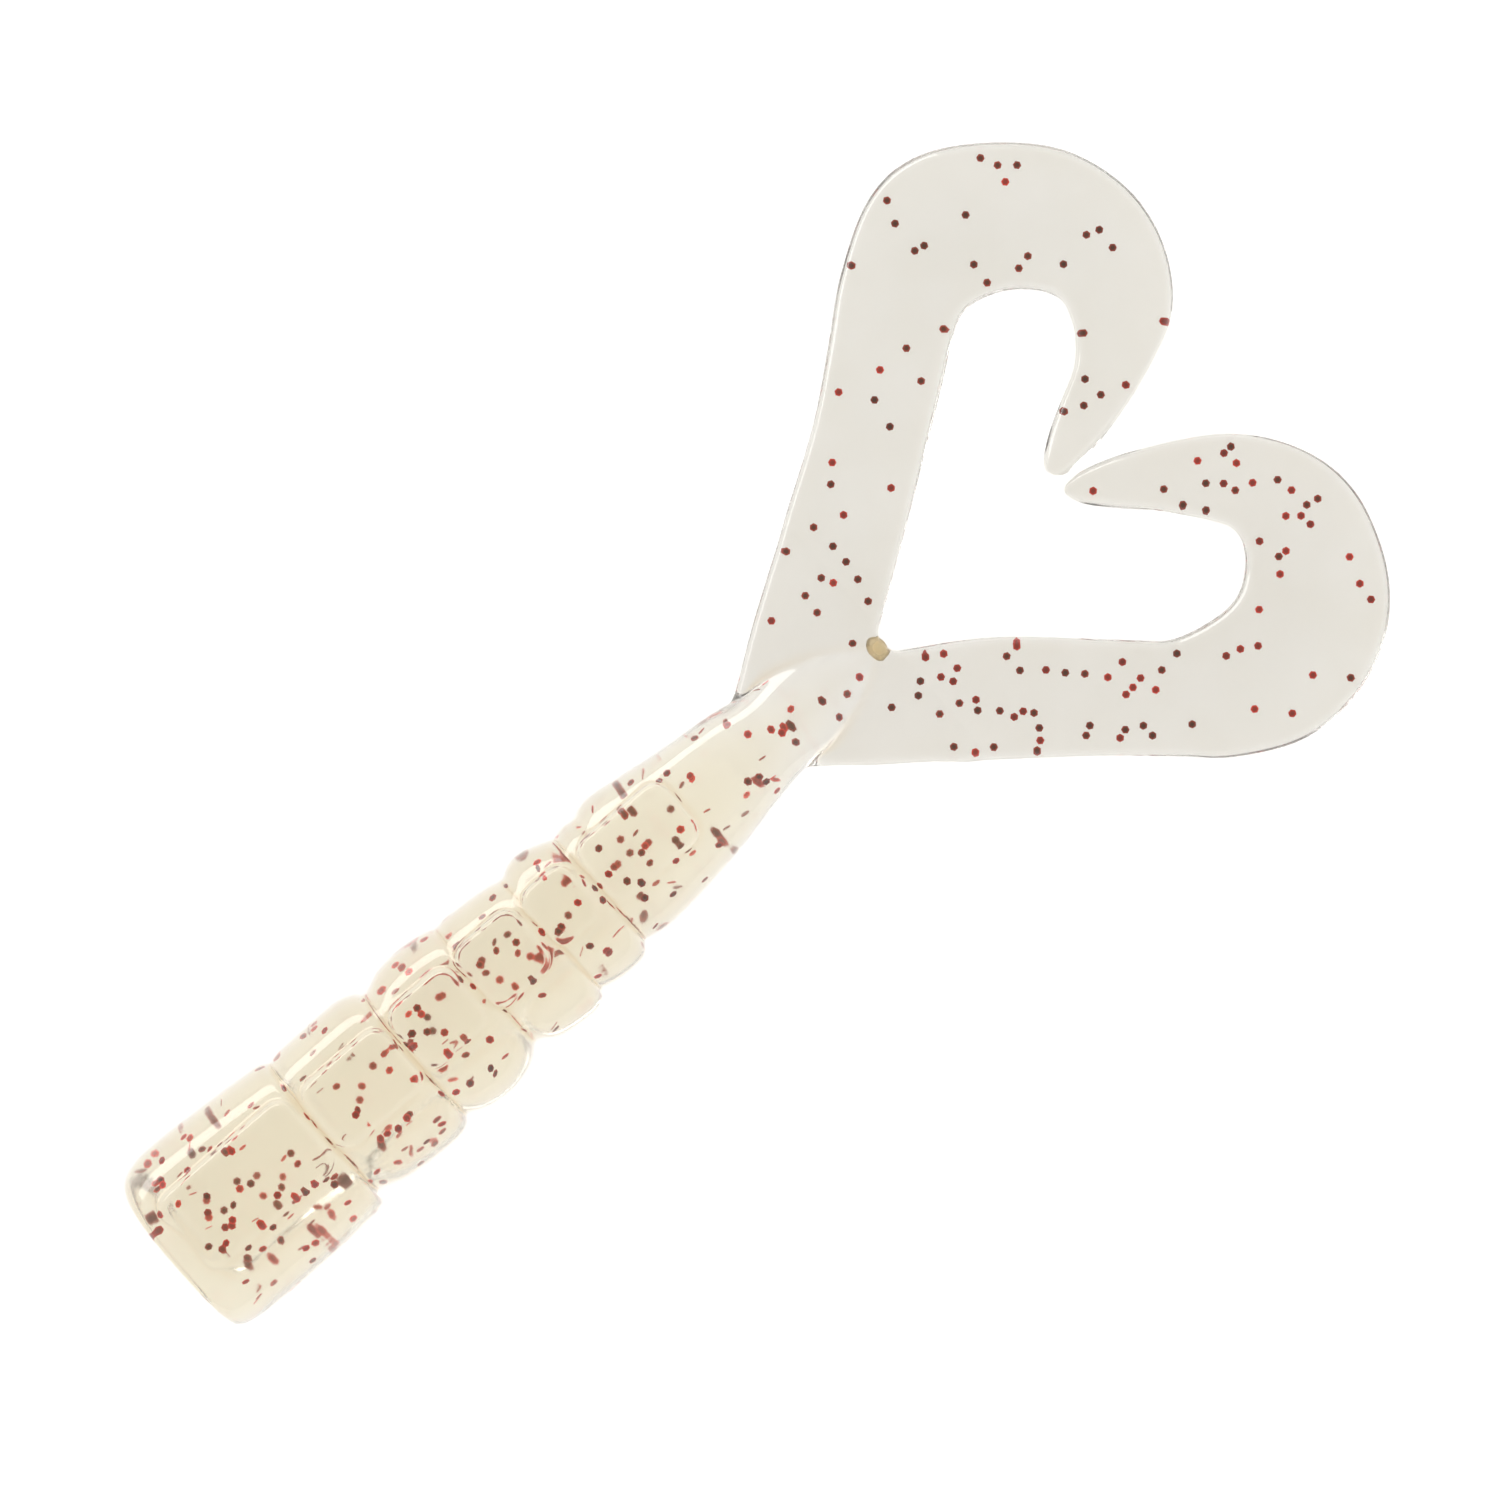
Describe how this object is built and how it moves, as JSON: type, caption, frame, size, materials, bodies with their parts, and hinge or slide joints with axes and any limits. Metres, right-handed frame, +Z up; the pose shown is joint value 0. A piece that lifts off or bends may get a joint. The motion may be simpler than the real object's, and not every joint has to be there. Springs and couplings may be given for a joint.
{
  "type": "soft plastic worm",
  "caption": "Soft plastic worm bait with a ringed body and twin flat tails that curl towards each other, cast in cream translucent plastic with red and brown flake.",
  "frame": {"origin": "under the middle of the whole worm's bounding box, on the surface its belly rests on", "axes": "+X from the head to the tails, +Z up out of the flat top pads, +Y towards the right tail"},
  "size_m": [0.077, 0.0382, 0.0092],
  "materials": {
    "body_plastisol": "glossy translucent cream plastisol, slightly oily, with moulded-in flake",
    "tail_plastisol": "the same plastisol where it is thin: pale warm grey and nearly clear",
    "gate_plastisol": "glossy tan, the thick remnant at the crotch",
    "red_flake": "shiny red glitter flake moulded into the plastic",
    "brown_flake": "dark red-brown glitter flake moulded into the plastic"
  },
  "bodies": {
    "head": {"head_block": "body_plastisol"},
    "ring_2": {"ring_2": "body_plastisol"},
    "ring_3": {"ring_3": "body_plastisol"},
    "ring_4": {"ring_4": "body_plastisol"},
    "ring_5": {"ring_5": "body_plastisol"},
    "shoulder": {"shoulder": "body_plastisol"},
    "fork": {"stem": "body_plastisol", "gate_nub": "gate_plastisol", "right_tail_root": "tail_plastisol", "left_tail_root": "tail_plastisol"},
    "right_tail_blade_front": {"right_tail_blade_front": "tail_plastisol"},
    "right_tail_blade_rear": {"right_tail_blade_rear": "tail_plastisol"},
    "right_tail_curl_start": {"right_tail_curl_start": "tail_plastisol"},
    "right_tail_curl_top": {"right_tail_curl_top": "tail_plastisol"},
    "right_tail_curl_end": {"right_tail_curl_end": "tail_plastisol"},
    "right_tail_hook": {"right_tail_hook": "tail_plastisol"},
    "right_tail_tip": {"right_tail_tip": "tail_plastisol"},
    "left_tail_blade_front": {"left_tail_blade_front": "tail_plastisol"},
    "left_tail_blade_rear": {"left_tail_blade_rear": "tail_plastisol"},
    "left_tail_curl_start": {"left_tail_curl_start": "tail_plastisol"},
    "left_tail_curl_top": {"left_tail_curl_top": "tail_plastisol"},
    "left_tail_curl_end": {"left_tail_curl_end": "tail_plastisol"},
    "left_tail_hook": {"left_tail_hook": "tail_plastisol"},
    "left_tail_tip": {"left_tail_tip": "tail_plastisol"}
  },
  "joints": [
    {"name": "ring_2_side_bend", "type": "hinge", "parent": "head", "child": "ring_2", "pos_m": [-0.0279, 0, 0.0046], "axis": [0.005, 0.003, 1], "range_deg": [-9, 9], "stiffness_Nm_per_rad": 0.02},
    {"name": "ring_3_lift_bend", "type": "hinge", "parent": "ring_2", "child": "ring_3", "pos_m": [-0.0216, 0, 0.0046], "axis": [-0.005, -1, 0.003], "range_deg": [-9, 9], "stiffness_Nm_per_rad": 0.02},
    {"name": "ring_4_side_bend", "type": "hinge", "parent": "ring_3", "child": "ring_4", "pos_m": [-0.0163, 0, 0.0046], "axis": [0.005, 0.003, 1], "range_deg": [-9, 9]},
    {"name": "ring_5_lift_bend", "type": "hinge", "parent": "ring_4", "child": "ring_5", "pos_m": [-0.0119, 0, 0.0046], "axis": [-0.005, -1, 0.003], "range_deg": [-9, 9]},
    {"name": "shoulder_side_bend", "type": "hinge", "parent": "ring_5", "child": "shoulder", "pos_m": [-0.0082, 0, 0.0046], "axis": [0.005, 0.003, 1], "range_deg": [-9, 9]},
    {"name": "fork_lift_bend", "type": "hinge", "parent": "shoulder", "child": "fork", "pos_m": [-0.0016, 0, 0.0046], "axis": [-0.005, -1, 0.003], "range_deg": [-9, 9]},
    {"name": "right_tail_blade_front_flap", "type": "hinge", "parent": "fork", "child": "right_tail_blade_front", "pos_m": [0.013, 0.00492, 0.0046], "axis": [0.005, -1, 0.003], "range_deg": [-18, 18], "stiffness_Nm_per_rad": 0.004},
    {"name": "right_tail_blade_rear_flap", "type": "hinge", "parent": "right_tail_blade_front", "child": "right_tail_blade_rear", "pos_m": [0.01725, 0.0077, 0.0046], "axis": [0.005, -1, 0.003], "range_deg": [-18, 18]},
    {"name": "right_tail_uncurl", "type": "hinge", "parent": "right_tail_blade_rear", "child": "right_tail_curl_start", "pos_m": [0.02065, 0.01425, 0.0046], "axis": [0.005, 0.003, 1], "range_deg": [0, 25], "stiffness_Nm_per_rad": 0.002},
    {"name": "right_tail_curl_top_flap", "type": "hinge", "parent": "right_tail_curl_start", "child": "right_tail_curl_top", "pos_m": [0.02882, 0.01487, 0.0046], "axis": [-0.0729, -0.9973, 0.003], "range_deg": [-18, 18]},
    {"name": "right_tail_curl_end_flap", "type": "hinge", "parent": "right_tail_curl_top", "child": "right_tail_curl_end", "pos_m": [0.03447, 0.01098, 0.0046], "axis": [-0.6672, -0.7448, 0.003], "range_deg": [-18, 18]},
    {"name": "right_tail_hook_flap", "type": "hinge", "parent": "right_tail_curl_end", "child": "right_tail_hook", "pos_m": [0.03386, 0.00501, 0.0046], "axis": [-0.9991, 0.0414, 0.003], "range_deg": [-18, 18]},
    {"name": "right_tail_tip_flap", "type": "hinge", "parent": "right_tail_hook", "child": "right_tail_tip", "pos_m": [0.02922, 0.00226, 0.0046], "axis": [-0.8356, 0.5493, 0.003], "range_deg": [-18, 18]},
    {"name": "left_tail_blade_front_flap", "type": "hinge", "parent": "fork", "child": "left_tail_blade_front", "pos_m": [0.013, -0.00496, 0.0046], "axis": [0.005, -1, 0.003], "range_deg": [-18, 18], "stiffness_Nm_per_rad": 0.004},
    {"name": "left_tail_blade_rear_flap", "type": "hinge", "parent": "left_tail_blade_front", "child": "left_tail_blade_rear", "pos_m": [0.01725, -0.00805, 0.0046], "axis": [0.005, -1, 0.003], "range_deg": [-18, 18]},
    {"name": "left_tail_uncurl", "type": "hinge", "parent": "left_tail_blade_rear", "child": "left_tail_curl_start", "pos_m": [0.0205, -0.0152, 0.0046], "axis": [-0.005, 0.003, -1], "range_deg": [0, 25], "stiffness_Nm_per_rad": 0.002},
    {"name": "left_tail_curl_top_flap", "type": "hinge", "parent": "left_tail_curl_start", "child": "left_tail_curl_top", "pos_m": [0.02805, -0.0149, 0.0046], "axis": [0.0573, -0.9984, 0.003], "range_deg": [-18, 18]},
    {"name": "left_tail_curl_end_flap", "type": "hinge", "parent": "left_tail_curl_top", "child": "left_tail_curl_end", "pos_m": [0.03313, -0.01178, 0.0046], "axis": [0.6308, -0.7759, 0.003], "range_deg": [-18, 18]},
    {"name": "left_tail_hook_flap", "type": "hinge", "parent": "left_tail_curl_end", "child": "left_tail_hook", "pos_m": [0.03311, -0.00652, 0.0046], "axis": [0.9939, -0.1101, 0.003], "range_deg": [-18, 18]},
    {"name": "left_tail_tip_flap", "type": "hinge", "parent": "left_tail_hook", "child": "left_tail_tip", "pos_m": [0.02951, -0.00275, 0.0046], "axis": [0.9366, 0.3503, 0.003], "range_deg": [-18, 18]}
  ],
  "couplings": [
    {"joint": "ring_4_side_bend", "follows": "ring_2_side_bend", "ratio": 1},
    {"joint": "ring_5_lift_bend", "follows": "ring_3_lift_bend", "ratio": 1},
    {"joint": "shoulder_side_bend", "follows": "ring_2_side_bend", "ratio": 1},
    {"joint": "fork_lift_bend", "follows": "ring_3_lift_bend", "ratio": 1},
    {"joint": "right_tail_blade_rear_flap", "follows": "right_tail_blade_front_flap", "ratio": 1},
    {"joint": "right_tail_curl_top_flap", "follows": "right_tail_blade_front_flap", "ratio": 1},
    {"joint": "right_tail_curl_end_flap", "follows": "right_tail_blade_front_flap", "ratio": 1},
    {"joint": "right_tail_hook_flap", "follows": "right_tail_blade_front_flap", "ratio": 1},
    {"joint": "right_tail_tip_flap", "follows": "right_tail_blade_front_flap", "ratio": 1},
    {"joint": "left_tail_blade_rear_flap", "follows": "left_tail_blade_front_flap", "ratio": 1},
    {"joint": "left_tail_curl_top_flap", "follows": "left_tail_blade_front_flap", "ratio": 1},
    {"joint": "left_tail_curl_end_flap", "follows": "left_tail_blade_front_flap", "ratio": 1},
    {"joint": "left_tail_hook_flap", "follows": "left_tail_blade_front_flap", "ratio": 1},
    {"joint": "left_tail_tip_flap", "follows": "left_tail_blade_front_flap", "ratio": 1}
  ]
}
